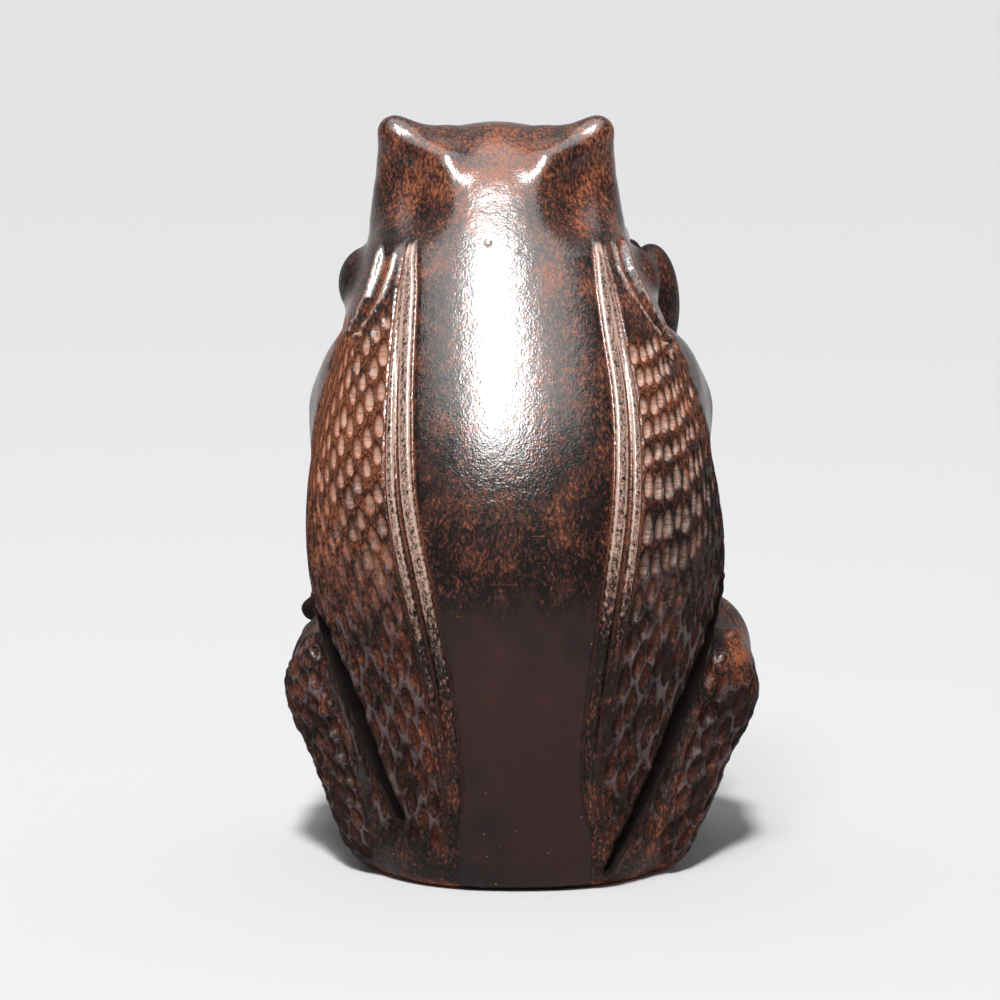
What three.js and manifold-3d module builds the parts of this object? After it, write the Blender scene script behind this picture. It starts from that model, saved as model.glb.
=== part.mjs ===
// A seated toad, carved from one block of dark hardwood. It has a horn bead and a black pupil let into
// each eye socket, and a felt pad let into its flat underside.
//
// Millimetres, +Z up. The origin is the centre of the footprint, on the plane that the toad stands on.
// The toad faces +Y: its smooth back is on -Y, and its own right hand is on +X.

import * as THREE from "three";
import { mergeVertices } from "three/addons/utils/BufferGeometryUtils.js";
import Module from "manifold-3d";

const wasm = await Module();
wasm.setup();

// ---- Driving dimensions ----

const BASE_Z = 0.3; // the felt pad holds the wood this far off the table
const HEAD_X = -3; // the head sits a little to the toad's left

// The trunk and the back of the head are one loft of flattened ovals.
// [height, centre in X, half width, back in Y, front in Y]
const TRUNK = [
  [0, 1, 30.3, -30, 30],
  [5, 1, 31.8, -31.8, 33],
  [18, 1, 32.5, -34, 35.5],
  [32, 1, 34.8, -36, 36.5],
  [46, 1, 37.6, -37.3, 36],
  [59, 0.7, 39.1, -37.5, 34],
  [72, 0.1, 38.2, -36.2, 31],
  [84, -0.3, 35.6, -33.6, 28],
  [95, -0.8, 32, -29.8, 25.5],
  [104, -1.6, 29.2, -25.6, 24],
  [112, -2.3, 26.2, -21.2, 24],
  [120, -2.7, 23.2, -15.8, 25],
  [128, -3, 21.6, -9.3, 24],
  [134, -3, 20, -2.8, 20],
  [137.6, -3, 15, 3, 16],
];
const TRUNK_TOP = 138.2;
const TRUNK_ROWS = 18;
const TRUNK_SIDES = 32;
const OVALNESS = 2.3; // 2 is an ellipse, and more is squarer

// Where the two cords down each side of the back run: [height, X of the inner cord on the toad's left,
// and on its right]. The outer cord lies further out by CORD_PITCH at mid height.
const CORD_PATH = [
  [10, -10.6, 15.4],
  [22, -10.2, 13.6],
  [40, -12.2, 15],
  [58, -15.8, 17.6],
  [74, -18.8, 19.4],
  [90, -19.4, 19.4],
  [104, -19, 17.4],
  [116, -18.4, 15.6],
];
const CORD_PITCH = 3.3;
const CORD_RADIUS = 0.85;
const CORD_EASE = 12; // how far past its ends the two cords of a pair would meet
const CORD_STEPS = 14;

const PAD_RADIUS = 24;
const PAD_THICKNESS = 0.8;
const PAD_CLEARANCE = 0.3;

// Each eye: its place from the middle of the head, the half sizes of the bulge around it, and the radii
// of the bead and pupil let into it.
const EYE = { x: 14.4, y: 15.5, z: 129, socket: [6.8, 7.8, 6.8], bead: 4.3, pupil: 1.9 };
const EYE_FORWARD = [2.4, 3.8, 0.2]; // from the middle of the bulge to the middle of the bead
const PUPIL_SINK = 0.9; // how deep in the bead's surface the pupil's middle lies
const BEAD_CLEARANCE = 0.3;
const PUPIL_CLEARANCE = 0.15;

const JAW_ROLL = -5; // degrees: the right corner of the mouth sits higher
const MOUTH = { halfWidth: 24.6, back: 16.5, reach: 21, z: 109.3, radius: 1.1 };
const NOSTRIL = { x: 3.6, y: 38.2, z: 116.5, half: [0.9, 1.8, 0.9] };

const LUMP_RINGS = 8;
const LIMB_SIDES = 9;
const DIGIT_SIDES = 6;
const LIMB_END_STEPS = 2; // rings in each rounded end of a limb

// ---- Small tools ----

// The smooth curve through rows of [key, value, ...]: a cubic whose slope at each row follows the rows
// on either side of it.
function curveThrough(rows, column) {
  const last = rows.length - 1;
  const slopes = rows.map((_, i) => {
    const low = rows[Math.max(i - 1, 0)];
    const high = rows[Math.min(i + 1, last)];
    return (high[column] - low[column]) / (high[0] - low[0]);
  });
  return (key) => {
    const above = rows.findIndex((row) => row[0] > key);
    const k = above < 0 ? last - 1 : Math.max(above - 1, 0);
    const [low, high] = [rows[k], rows[k + 1]];
    const span = high[0] - low[0];
    const t = THREE.MathUtils.clamp((key - low[0]) / span, 0, 1);
    return (
      (2 * t ** 3 - 3 * t ** 2 + 1) * low[column] +
      (t ** 3 - 2 * t ** 2 + t) * span * slopes[k] +
      (-2 * t ** 3 + 3 * t ** 2) * high[column] +
      (t ** 3 - t ** 2) * span * slopes[k + 1]
    );
  };
}

const trunkCentre = curveThrough(TRUNK, 1);
const trunkHalfWidth = curveThrough(TRUNK, 2);
const trunkBack = curveThrough(TRUNK, 3);
const trunkFront = curveThrough(TRUNK, 4);

// A three.js geometry as a manifold-3d solid.
function solid(geometry) {
  const bare = geometry.clone();
  bare.deleteAttribute("normal");
  bare.deleteAttribute("uv");
  const merged = mergeVertices(bare, 1e-4);
  return new wasm.Manifold(
    new wasm.Mesh({
      numProp: 3,
      vertProperties: new Float32Array(merged.attributes.position.array),
      triVerts: new Uint32Array(merged.index.array),
    }),
  );
}

// A manifold-3d solid as a named three.js mesh.
function mesh(name, shape, material) {
  const made = shape.getMesh();
  const geometry = new THREE.BufferGeometry();
  geometry.setAttribute("position", new THREE.BufferAttribute(made.vertProperties, 3));
  geometry.setIndex(new THREE.BufferAttribute(made.triVerts, 1));
  geometry.computeVertexNormals();
  const result = new THREE.Mesh(geometry, material);
  result.name = name;
  return result;
}

// An ellipsoid: centre, half sizes, and an optional turn in degrees about X, Y and Z.
function lump(centre, half, turn = [0, 0, 0], rings = LUMP_RINGS) {
  const geometry = new THREE.SphereGeometry(1, Math.round(rings * 1.6), rings);
  geometry.rotateX(Math.PI / 2);
  geometry.scale(...half);
  geometry.rotateX(THREE.MathUtils.degToRad(turn[0]));
  geometry.rotateY(THREE.MathUtils.degToRad(turn[1]));
  geometry.rotateZ(THREE.MathUtils.degToRad(turn[2]));
  geometry.translate(...centre);
  return solid(geometry);
}

function ball(centre, radius) {
  return lump(centre, [radius, radius, radius]);
}

// A limb: a round-ended rod from a to b whose radius goes from ra to rb.
function limb(a, ra, b, rb, sides = LIMB_SIDES) {
  const from = new THREE.Vector3(...a);
  const to = new THREE.Vector3(...b);
  const length = from.distanceTo(to);
  const lean = Math.asin(THREE.MathUtils.clamp((ra - rb) / length, -0.9, 0.9));
  const profile = [];
  for (let i = 0; i <= LIMB_END_STEPS; i++) {
    const angle = -Math.PI / 2 + (i / LIMB_END_STEPS) * (Math.PI / 2 + lean);
    profile.push(new THREE.Vector2(ra * Math.cos(angle), ra * Math.sin(angle)));
  }
  for (let i = 0; i <= LIMB_END_STEPS; i++) {
    const angle = lean + (i / LIMB_END_STEPS) * (Math.PI / 2 - lean);
    profile.push(new THREE.Vector2(rb * Math.cos(angle), length + rb * Math.sin(angle)));
  }
  profile[0].x = 0;
  profile[profile.length - 1].x = 0;
  const geometry = new THREE.LatheGeometry(profile, sides);
  const along = to.clone().sub(from).normalize();
  const turn = new THREE.Quaternion().setFromUnitVectors(new THREE.Vector3(0, 1, 0), along);
  geometry.applyQuaternion(turn);
  geometry.translate(...a);
  return solid(geometry);
}

// A round rod along a smooth curve through points.
function rod(points, radius, steps, sides = 8) {
  const path = new THREE.CatmullRomCurve3(points.map((point) => new THREE.Vector3(...point)));
  const section = new THREE.Shape();
  section.absarc(0, 0, radius, 0, 2 * Math.PI);
  return solid(
    new THREE.ExtrudeGeometry(section, { extrudePath: path, steps, curveSegments: sides / 2 }),
  );
}

// ---- The carved block ----

function trunk() {
  const profile = [new THREE.Vector2(0, 0)];
  for (let i = 0; i <= TRUNK_ROWS; i++) {
    const z = (TRUNK[TRUNK.length - 1][0] * i) / TRUNK_ROWS;
    profile.push(new THREE.Vector2(1, z));
  }
  profile.push(new THREE.Vector2(0, TRUNK_TOP));
  const geometry = new THREE.LatheGeometry(profile, TRUNK_SIDES);
  geometry.rotateX(Math.PI / 2);
  const place = geometry.attributes.position;
  for (let i = 0; i < place.count; i++) {
    const z = place.getZ(i);
    const [x, y] = [place.getX(i), place.getY(i)];
    const reach = (Math.abs(x) ** OVALNESS + Math.abs(y) ** OVALNESS) ** (1 / OVALNESS);
    const round = reach > 0 ? 1 / reach : 0;
    const middle = (trunkBack(z) + trunkFront(z)) / 2;
    const halfDepth = (trunkFront(z) - trunkBack(z)) / 2;
    place.setXYZ(i, trunkCentre(z) + x * round * trunkHalfWidth(z), middle + y * round * halfDepth, z);
  }
  return solid(geometry);
}

// The point on the back of the trunk at a given X and height.
function onBack(x, z) {
  const share = Math.min(Math.abs(x - trunkCentre(z)) / trunkHalfWidth(z), 0.98);
  const middle = (trunkBack(z) + trunkFront(z)) / 2;
  const halfDepth = (trunkFront(z) - trunkBack(z)) / 2;
  return [x, middle - halfDepth * (1 - share ** OVALNESS) ** (1 / OVALNESS), z];
}

function cords() {
  const made = [];
  for (const [column, side] of [
    [1, -1],
    [2, 1],
  ]) {
    const innerX = curveThrough(CORD_PATH, column);
    for (const out of [0, CORD_PITCH]) {
      const points = [];
      const [low, high] = [CORD_PATH[0][0], CORD_PATH[CORD_PATH.length - 1][0]];
      for (let i = 0; i <= CORD_STEPS; i++) {
        const z = low + ((high - low) * i) / CORD_STEPS;
        const spread = out * Math.sin((Math.PI * (z - low + CORD_EASE)) / (high - low + 2 * CORD_EASE));
        points.push(onBack(innerX(z) + side * spread, z));
      }
      made.push(rod(points, CORD_RADIUS, CORD_STEPS, 4));
    }
  }
  return made;
}

function head() {
  const made = [
    lump([HEAD_X, 9, 123], [20, 18, 15]), // skull
    lump([HEAD_X, 19, 119], [17, 17, 11]), // bridge between the eyes and the lips
    lump([HEAD_X, 17, 113.5], [25.5, 22, 9.5], [0, JAW_ROLL, 0]), // upper jaw
    lump([HEAD_X, 14, 106], [23.5, 20.5, 8], [0, JAW_ROLL, 0]), // lower jaw
    lump([HEAD_X, 12, 96], [22, 15, 12]), // throat
  ];
  for (const side of [-1, 1]) {
    const corner = [HEAD_X + side * 18.4, 8, 136];
    made.push(lump([HEAD_X + side * EYE.x, EYE.y, EYE.z], EYE.socket));
    made.push(limb(corner, 2.9, [HEAD_X + side * 9, -6, 128], 5));
    made.push(limb(corner, 2.9, [HEAD_X + side * 15.5, 18, 134.3], 2.6));
    made.push(lump([side * 24 - 2.4, 4, 108.5], [6, 9, 7])); // gland behind the jaw
  }
  return made;
}

function hindLeg(side) {
  const hip = [side * 21 + 1, -17, 9];
  const bend = [side * 32.6 + 1.9, 1, 32];
  const knee = [side * 32.7 + 1.8, 13, 35.5 + side * 1.5];
  const ankle = [side * 26, 27, 8];
  const made = [limb(hip, 12, bend, 11.6), limb(bend, 11.6, knee, 11.3), limb(knee, 10.5, ankle, 7.5)];
  for (const [reachX, reachY] of [
    [35, 36],
    [29.5, 40.5],
    [22.5, 42],
    [15.5, 40],
  ]) {
    made.push(limb([side * 25, 26, 5], 4.8, [side * reachX, reachY, 2.9], 2.4, DIGIT_SIDES));
  }
  return made;
}

function arms() {
  const made = [];
  for (const side of [-1, 1]) {
    made.push(lump([side * 28.5 - 0.3, 7, 84], [8.6, 14, 15]));
  }
  // The right forearm is raised, and its hand is held to the cheek.
  const rightElbow = [30.3, 19, 68];
  made.push(limb([29, 10, 84], 8.6, rightElbow, 7.4));
  made.push(limb(rightElbow, 7.4, [27, 24, 92], 5.8));
  made.push(lump([26.6, 22, 102], [5.6, 7, 12]));
  for (const [y, top] of [
    [27.5, 112],
    [30.5, 107],
    [31, 101.5],
  ]) {
    made.push(limb([27, 24, top - 7], 3.2, [22.5, y, top], 2.4, DIGIT_SIDES));
  }
  // The left hand rests on the knee.
  const leftElbow = [-30.3, 13, 66];
  const leftPalm = [-32, 18, 47.5];
  made.push(limb([-29, 9, 84], 8.6, leftElbow, 7.4));
  made.push(limb(leftElbow, 7.4, [-31, 20, 52], 5.6));
  made.push(lump(leftPalm, [6.6, 7.5, 4.2]));
  for (const tip of [
    [-38.6, 20, 43],
    [-36, 25.5, 41.5],
    [-31, 27.5, 41.5],
    [-26, 25, 43.5],
  ]) {
    made.push(limb(leftPalm, 3.2, tip, 2.3, DIGIT_SIDES));
  }
  return made;
}

// The gap between the lips: it follows the front of the jaws from corner to corner.
function mouth() {
  const points = [];
  for (let i = 0; i <= 10; i++) {
    const angle = (Math.PI * i) / 10;
    const x = -MOUTH.halfWidth * Math.cos(angle);
    const tilt = x * Math.tan(THREE.MathUtils.degToRad(JAW_ROLL));
    points.push([HEAD_X + x, MOUTH.back + MOUTH.reach * Math.sin(angle), MOUTH.z - tilt]);
  }
  return rod(points, MOUTH.radius, 22, 6);
}

// A disc on the Z axis: the pad, and with its clearance added the recess for it.
function padDisc(radius, low, high) {
  const geometry = new THREE.CylinderGeometry(radius, radius, high - low, 40);
  geometry.rotateX(Math.PI / 2);
  geometry.translate(0, 0, (low + high) / 2);
  return solid(geometry);
}

// Everything under the plane that the wood ends at.
function belowBase() {
  const [width, height] = [200, 40];
  const geometry = new THREE.BoxGeometry(width, width, height);
  geometry.translate(0, 0, BASE_Z - height / 2);
  return solid(geometry);
}

function eyeCentre(side) {
  const [out, forward, up] = EYE_FORWARD;
  return [HEAD_X + side * (EYE.x + out), EYE.y + forward, EYE.z + up];
}

function carvedBody() {
  const added = [trunk(), ...cords(), ...head(), ...hindLeg(-1), ...hindLeg(1), ...arms()];
  const cuts = [
    belowBase(),
    padDisc(PAD_RADIUS + PAD_CLEARANCE, -PAD_THICKNESS, PAD_THICKNESS + PAD_CLEARANCE),
    mouth(),
  ];
  for (const side of [-1, 1]) {
    cuts.push(ball(eyeCentre(side), EYE.bead + BEAD_CLEARANCE));
    cuts.push(lump([HEAD_X + side * NOSTRIL.x, NOSTRIL.y, NOSTRIL.z], NOSTRIL.half));
  }
  const block = added.reduce((whole, piece) => whole.add(piece));
  return cuts.reduce((whole, cut) => whole.subtract(cut), block);
}

// ---- The inlays ----

// Which way each eye looks: out, forward and a little up.
function gaze(side) {
  return new THREE.Vector3(side * 0.62, 0.76, 0.18).normalize();
}

function pupil(side, radius) {
  const place = gaze(side).multiplyScalar(EYE.bead - PUPIL_SINK).add(new THREE.Vector3(...eyeCentre(side)));
  return ball(place.toArray(), radius);
}

function bead(side) {
  return ball(eyeCentre(side), EYE.bead).subtract(pupil(side, EYE.pupil + PUPIL_CLEARANCE));
}

// ---- The assembly ----

const wood = new THREE.MeshStandardMaterial({ color: 0x3a2019, roughness: 0.38, metalness: 0 });
const horn = new THREE.MeshStandardMaterial({ color: 0xb5752a, roughness: 0.2, metalness: 0 });
const jet = new THREE.MeshStandardMaterial({ color: 0x0b0908, roughness: 0.12, metalness: 0 });
const felt = new THREE.MeshStandardMaterial({ color: 0x1d2a22, roughness: 0.95, metalness: 0 });

const toad = new THREE.Group();
toad.add(mesh("carved_body", carvedBody(), wood));
for (const [side, name] of [
  [-1, "left"],
  [1, "right"],
]) {
  toad.add(mesh(name + "_eye_bead", bead(side), horn));
  toad.add(mesh(name + "_pupil", pupil(side, EYE.pupil), jet));
}
toad.add(mesh("felt_pad", padDisc(PAD_RADIUS, 0, PAD_THICKNESS), felt));

export default toad;
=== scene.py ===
"""A seated toad carved from one block of dark hardwood, standing on a pale studio floor.

The carved block is modelled as a field of distances: lofts, ellipsoids and round-ended limbs melted into
each other, in millimetres, in the frame of the CAD. The field becomes a mesh, and the mesh is then cut
with the marks of the gouge: cords, grooves, and the scooped scales of the flanks and legs.
"""

import math

import bmesh
import bpy
import numpy as np
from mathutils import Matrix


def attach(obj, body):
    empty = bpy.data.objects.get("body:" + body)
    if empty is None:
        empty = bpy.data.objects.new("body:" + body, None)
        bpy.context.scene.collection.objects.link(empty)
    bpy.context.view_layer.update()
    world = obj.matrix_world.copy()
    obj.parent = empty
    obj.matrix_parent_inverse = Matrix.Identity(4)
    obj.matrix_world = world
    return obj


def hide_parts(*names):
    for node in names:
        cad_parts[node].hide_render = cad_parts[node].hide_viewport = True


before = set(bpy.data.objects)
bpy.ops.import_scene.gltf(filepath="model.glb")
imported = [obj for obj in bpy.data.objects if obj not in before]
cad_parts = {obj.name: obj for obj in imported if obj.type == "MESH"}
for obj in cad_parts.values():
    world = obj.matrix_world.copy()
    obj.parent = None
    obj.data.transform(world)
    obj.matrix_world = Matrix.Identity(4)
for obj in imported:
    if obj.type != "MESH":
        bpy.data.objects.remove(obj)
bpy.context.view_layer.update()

import openvdb as vdb
from mathutils import Vector

MM = 0.001
LEFT, RIGHT = -1, 1  # the toad's own sides: its right is +X


def show(name, data):
    """Puts an object with this data into the scene."""
    made = bpy.data.objects.new(name, data)
    bpy.context.scene.collection.objects.link(made)
    return made


# ---- Camera ----

VIEW_ELEVATION = math.radians(10)
VIEW_DISTANCE = 0.7
VIEW_TARGET = Vector((-2.25, 0, 68.1)) * MM
LENS = 134.3


def make_camera():
    data = bpy.data.cameras.new("camera")
    data.lens = LENS
    camera = show("camera", data)
    back = Vector((0, -math.cos(VIEW_ELEVATION), math.sin(VIEW_ELEVATION)))
    camera.location = VIEW_TARGET + back * VIEW_DISTANCE
    camera.rotation_mode = "QUATERNION"
    camera.rotation_quaternion = (-back).to_track_quat("-Z", "Y")
    bpy.context.scene.camera = camera


make_camera()

# ---- Forms of the block ----

# The trunk and the back of the head: [height, centre X, half width, back Y, front Y]
TRUNK = [
    [0, 1, 29.6, -27.5, 30],
    [5, 1, 31.4, -30, 33],
    [18, 1, 32.5, -33.6, 35.5],
    [32, 1, 34.8, -36, 36.5],
    [46, 1, 37.6, -37.3, 36],
    [59, 0.7, 39.1, -37.5, 34],
    [72, 0.1, 38.2, -36.2, 31],
    [84, -0.3, 35.6, -33.6, 28],
    [95, -0.8, 32, -29.8, 25.5],
    [104, -1.6, 29.2, -25.6, 24],
    [112, -2.3, 26.2, -21.2, 24],
    [120, -2.7, 23.2, -15.8, 25],
    [128, -3, 21.6, -9.3, 24],
    [134, -3, 20, -2.8, 20],
    [137.6, -3, 15, 3, 16],
]
TRUNK_TOP = 137.2
OVALNESS = 2.3
HEAD_X = -3.0
BASE_Z = 0.3
PAD_RADIUS, PAD_THICKNESS, PAD_EDGE = 24.0, 0.8, 0.25
JAW_ROLL = math.radians(-5)
MOUTH_Y, MOUTH_Z = 16.5, 109.3
MOUTH_HALF, MOUTH_REACH = 24.6, 21  # half its width, and how far forward it comes
MOUTH_RADIUS, MOUTH_STEPS = 1.0, 16
EYE_X, EYE_Y, EYE_Z = 14.4, 15.5, 129.0
EYE_FORWARD = (2.4, 3.8, 0.2)  # from the eye's mound to its bead: out, forward and up
GAZE = (0.62, 0.76, 0.18)  # which way an eye looks: out, forward and up
BEAD_RADIUS, PUPIL_RADIUS, PUPIL_SINK = 4.3, 1.9, 0.9
BEAD_CLEARANCE, PUPIL_CLEARANCE = 0.3, 0.15
BEAD_CELLS, PUPIL_CELLS = 40, 20  # cells along each grid of a ball's mesh

# The cords down the back: [height, X of the inner cord on the left, on the right]
CORD_PATH = [
    [10, -10.6, 15.4],
    [22, -10.2, 13.6],
    [40, -12.2, 15],
    [58, -15.8, 17.6],
    [74, -18.8, 19.4],
    [90, -19.4, 19.4],
    [104, -19, 17.4],
    [116, -18.4, 15.6],
]
CORD_PITCH = 3.3
INNER_CORD, OUTER_CORD = 1.2, 0.85  # half widths
CORD_EASE = 12.0

# The deep crease between each flank and haunch: [height, X], from the top down.
CREASE = {
    LEFT: [[50, -36.5], [45, -33.7], [39, -30.9], [32.5, -28.1], [26, -25.4], [20, -22.9], [14, -20]],
    RIGHT: [[54, 38.5], [47, 36.6], [39, 33.6], [31.5, 30], [23, 26.4], [16, 23], [9, 19.3], [4.5, 17]],
}
CREASE_RADII = [1.2, 2.6, 3.1, 2.8, 2.1, 1.6, 1.2, 0.9]
CREASE_SINK = 1.4

# Warts along the haunch beside the crease: [height, X]
WARTS = {
    LEFT: [[45, -38.6], [41.5, -35], [38.5, -37.2], [36.8, -33.4], [33, -31.2], [30.4, -34.2], [26, -28.6],
           [19, -25.6], [15.5, -22.8], [12, -19.5]],
    RIGHT: [[41.5, 41], [38.4, 38.8], [34, 36.2], [31.8, 38.6], [30.4, 32.6], [26.6, 31.8], [22.6, 29.6],
            [17, 26.3], [12.5, 22.8]],
}
WART_RADIUS = 2.5

# The hollow band from behind each cheek to the shoulder: [height, X], from the top down.
BAND = {
    LEFT: [[118, -22.4], [112, -24], [108, -25.4], [104.5, -27.2], [100.5, -30]],
    RIGHT: [[119, 19.2], [112.5, 20.9], [108.5, 22.9], [105, 25], [102, 27], [98.5, 29.2]],
}


TABLE_STEP = 0.25


def smooth_table(rows):
    """The cubic curve through rows of [key, values], as a table with a row every quarter millimetre."""
    rows = np.asarray(rows, dtype=float)
    rows = rows[np.argsort(rows[:, 0])]
    keys, values = rows[:, 0], rows[:, 1:]
    slope = np.empty_like(values)
    slope[1:-1] = (values[2:] - values[:-2]) / (keys[2:] - keys[:-2])[:, None]
    slope[0] = (values[1] - values[0]) / (keys[1] - keys[0])
    slope[-1] = (values[-1] - values[-2]) / (keys[-1] - keys[-2])
    at = np.arange(keys[0], keys[-1] + TABLE_STEP, TABLE_STEP).clip(keys[0], keys[-1])
    i = np.clip(np.searchsorted(keys, at, side="right") - 1, 0, len(keys) - 2)
    span = (keys[i + 1] - keys[i])[:, None]
    t = ((at - keys[i])[:, None]) / span
    curve = (
        (2 * t**3 - 3 * t**2 + 1) * values[i]
        + (t**3 - 2 * t**2 + t) * span * slope[i]
        + (3 * t**2 - 2 * t**3) * values[i + 1]
        + (t**3 - t**2) * span * slope[i + 1]
    )
    return at, curve


def look_up(table, key, column):
    return np.interp(key, table[0], table[1][:, column])


TRUNK_TABLE = smooth_table(TRUNK)
CORD_TABLE = smooth_table(CORD_PATH)


def trunk_section(z):
    """Centre X, half width, middle Y and half depth of the trunk at each height."""
    centre, half, back, front = (look_up(TRUNK_TABLE, z, column) for column in range(4))
    return centre, half, (back + front) / 2, (front - back) / 2


def smooth_min(a, b, k):
    h = np.maximum(k - np.abs(a - b), 0) / k
    return np.minimum(a, b) - h * h * k / 4


def smooth_max(a, b, k):
    return -smooth_min(-a, -b, k)


def smoothstep(low, high, value):
    t = np.clip((value - low) / (high - low), 0, 1)
    return t * t * (3 - 2 * t)


def trunk(p):
    centre, half, middle, depth = trunk_section(p[:, 2])
    across = np.abs(p[:, 0] - centre) / half
    along = np.abs(p[:, 1] - middle) / depth
    radial = (across**OVALNESS + along**OVALNESS) ** (1 / OVALNESS)
    side = (radial - 1) * np.minimum(half, depth)
    return smooth_max(side, p[:, 2] - TRUNK_TOP, 4)


def ellipsoid(centre, half, roll=0.0):
    centre, half = np.array(centre, dtype=float), np.array(half, dtype=float)
    c, s = math.cos(roll), math.sin(roll)

    def distance(p):
        q = p - centre
        q = np.stack([c * q[:, 0] - s * q[:, 2], q[:, 1], s * q[:, 0] + c * q[:, 2]], axis=1)
        k0 = np.linalg.norm(q / half, axis=1)
        k1 = np.linalg.norm(q / half**2, axis=1)
        return k0 * (k0 - 1) / np.maximum(k1, 1e-6)

    distance.low = centre - half.max()
    distance.high = centre + half.max()
    return distance


def limb(a, radius_a, b, radius_b):
    a, b = np.array(a, dtype=float), np.array(b, dtype=float)

    def distance(p):
        along = np.clip((p - a) @ (b - a) / ((b - a) @ (b - a)), 0, 1)
        gap = np.linalg.norm(p - a - along[:, None] * (b - a), axis=1)
        return gap - radius_a - along * (radius_b - radius_a)

    reach = max(radius_a, radius_b)
    distance.low = np.minimum(a, b) - reach
    distance.high = np.maximum(a, b) + reach
    return distance


def joined(forms, blend):
    """Several forms melted into one."""

    def distance(p):
        whole = forms[0](p)
        for form in forms[1:]:
            whole = smooth_min(whole, form(p), blend)
        return whole

    distance.low = np.min([form.low for form in forms], axis=0)
    distance.high = np.max([form.high for form in forms], axis=0)
    return distance


def on_back(x, z, lift=0.0):
    """The point on the back of the trunk at a given X and height."""
    centre, half, middle, depth = trunk_section(z)
    share = min(abs(x - centre) / half, 0.995)
    y = middle - depth * (1 - share**OVALNESS) ** (1 / OVALNESS)
    return [x, float(y) - lift, z]


def head_forms():
    made = [
        (ellipsoid([HEAD_X, 9, 123], [20, 18, 12.5]), 4),
        (ellipsoid([HEAD_X, 7, 130.6], [10, 9, 7.2]), 3),  # the middle of the forehead
        (ellipsoid([HEAD_X, 19, 119], [17, 17, 11]), 6),
        (ellipsoid([HEAD_X, 17, 113.5], [25.5, 22, 9.5], JAW_ROLL), 3),
        (ellipsoid([HEAD_X, 14, 106], [23.5, 20.5, 8], JAW_ROLL), 2),
        (ellipsoid([HEAD_X, 12, 96], [22, 15, 12]), 5),
    ]
    for side in (LEFT, RIGHT):
        tip = [HEAD_X + side * 18.7, 1.5, 136.8]
        edges = [
            limb(tip, 2.0, [HEAD_X + side * 10, 4, 134.2], 3.0),  # the top edge
            limb(tip, 2.0, [HEAD_X + side * 10, -3.2, 130.3], 4.8),  # the ridge down the back of the head
            limb(tip, 2.0, [HEAD_X + side * 18.9, 3.0, 121], 3.2),  # the outer edge
            limb(tip, 2.0, [HEAD_X + side * 15.5, 18, 134.3], 2.6),  # the brow over the eye
        ]
        made.append((ellipsoid([HEAD_X + side * EYE_X, EYE_Y, EYE_Z], [6.8, 7.8, 6.8]), 2.5))
        edges.append(ellipsoid([HEAD_X + side * 16, 1.5, 133], [4.6, 3.6, 5]))  # the corner between them
        made.append((joined(edges, 2.5), 4))
    return made


def gland_forms():
    return [(ellipsoid([side * 24 - 2.4, 4, 108.5], [6, 9, 7]), 1.2) for side in (LEFT, RIGHT)]


def thigh_ends(side):
    return [side * 23 + 1.3, -9, 10], [side * 32.6 + 1.9, 1, 32], [side * 32.7 + 1.8, 13, 35.5 + side * 1.5]


def shank_ends(side):
    return [side * 32.7 + 1.8, 13, 35.5 + side * 1.5], [side * 26, 27, 8]


def haunch_forms(side):
    hip, bend, knee = thigh_ends(side)
    return [(limb(hip, 11.5, bend, 11.8), 1.0), (limb(bend, 11.8, knee, 11.3), 3)]


def foreleg_forms(side):
    knee, ankle = shank_ends(side)
    made = [(limb(knee, 10.5, ankle, 7.5), 2)]
    for reach_x, reach_y in ((33.5, 36), (29.5, 40.5), (22.5, 42), (15.5, 40)):
        made.append((limb([side * 25, 26, 5], 4.8, [side * reach_x, reach_y, 2.9], 2.4), 1.2))
        made.append((ellipsoid([side * reach_x, reach_y, 2.9], [2.9, 2.9, 2.7]), 0.8))
    return made


def shoulder_forms():
    return [(ellipsoid([side * 28.5 - 0.3, 7, 84], [8.6, 14, 15]), 4) for side in (LEFT, RIGHT)]


def arm_forms():
    right_elbow, left_elbow, left_palm = [30.3, 19, 68], [-30.3, 13, 66], [-32, 18, 47.5]
    made = [
        (limb([29, 10, 84], 8.6, right_elbow, 7.4), 3),
        (limb(right_elbow, 7.4, [27, 24, 92], 5.8), 1.5),
        (ellipsoid([26.6, 22, 102], [5.6, 7, 12]), 2),
        (limb([-29, 9, 84], 8.6, left_elbow, 7.4), 3),
        (limb(left_elbow, 7.4, [-31, 20, 52], 5.6), 2),
        (ellipsoid(left_palm, [6.6, 7.5, 4.2]), 2),
    ]
    for y, top in ((27.5, 112), (30.5, 107), (31, 101.5)):
        made.append((limb([27, 24, top - 7], 3.2, [22.5, y, top], 2.4), 0.9))
    for tip in ([-38.6, 20, 43], [-36, 25.5, 41.5], [-31, 27.5, 41.5], [-26, 25, 43.5]):
        made.append((limb(left_palm, 3.2, tip, 2.3), 0.9))
    return made


def crease_points(side):
    return [on_back(x, z, -CREASE_SINK) for z, x in CREASE[side]]


def crease_cuts():
    cuts = []
    for side in (LEFT, RIGHT):
        points = crease_points(side)
        for a, b, radius_a, radius_b in zip(points, points[1:], CREASE_RADII, CREASE_RADII[1:]):
            cuts.append((limb(a, radius_a, b, radius_b), 1.0))
    return cuts


def eye_centre(side):
    out, forward, up = EYE_FORWARD
    return [HEAD_X + side * (EYE_X + out), EYE_Y + forward, EYE_Z + up]


def brow_hollow(side):
    """The shallow hollow behind each brow."""
    return ellipsoid([HEAD_X + side * 17.0, -12.8, 128.5], [5.2, 7.5, 7.5], side * 0.3)


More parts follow.
